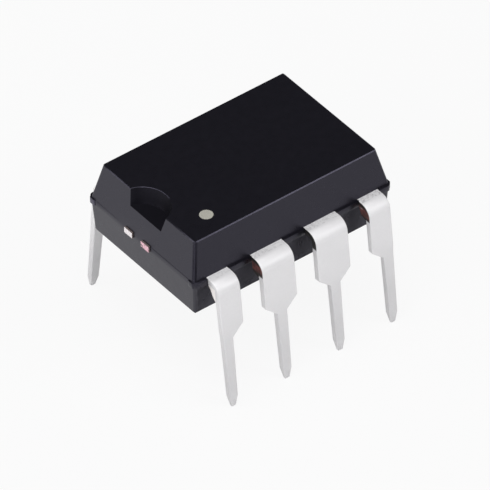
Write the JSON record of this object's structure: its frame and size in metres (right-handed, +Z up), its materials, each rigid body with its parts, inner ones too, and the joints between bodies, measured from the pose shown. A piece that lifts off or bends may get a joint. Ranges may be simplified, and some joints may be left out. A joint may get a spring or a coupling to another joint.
{
  "type": "dual in-line integrated circuit",
  "caption": "Dual in-line integrated circuit: a drafted black moulding with an end notch and a dot, and formed tinned leads down both sides.",
  "frame": {"origin": "centre of the lead field in the plane of the lead tips, under the middle of the body", "axes": "+X along the body away from the notched end, +Y towards leads 5 to 8, +Z up out of the top face"},
  "size_m": [0.0094, 0.009, 0.0073],
  "materials": {
    "moulding_compound": "fine matt black moulding",
    "tinned_copper": "satin tin plate, bare copper where the dam bars were cut",
    "bare_copper": "cut copper",
    "silver_epoxy": "matt grey",
    "silicon": "polished dark grey",
    "gold_wire": "drawn gold",
    "marking_ink": "matt pale grey"
  },
  "bodies": {
    "root": {"moulded_body": "moulding_compound", "lead_1": "tinned_copper", "lead_2": "tinned_copper", "lead_3": "tinned_copper", "lead_4": "tinned_copper", "lead_5": "tinned_copper", "lead_6": "tinned_copper", "lead_7": "tinned_copper", "lead_8": "tinned_copper", "die_paddle": "bare_copper", "die_attach": "silver_epoxy", "silicon_die": "silicon", "bond_wire_1": "gold_wire", "bond_wire_2": "gold_wire", "bond_wire_3": "gold_wire", "bond_wire_4": "gold_wire", "bond_wire_5": "gold_wire", "bond_wire_6": "gold_wire", "bond_wire_7": "gold_wire", "bond_wire_8": "gold_wire", "pin_one_dot": "marking_ink"}
  },
  "joints": []
}
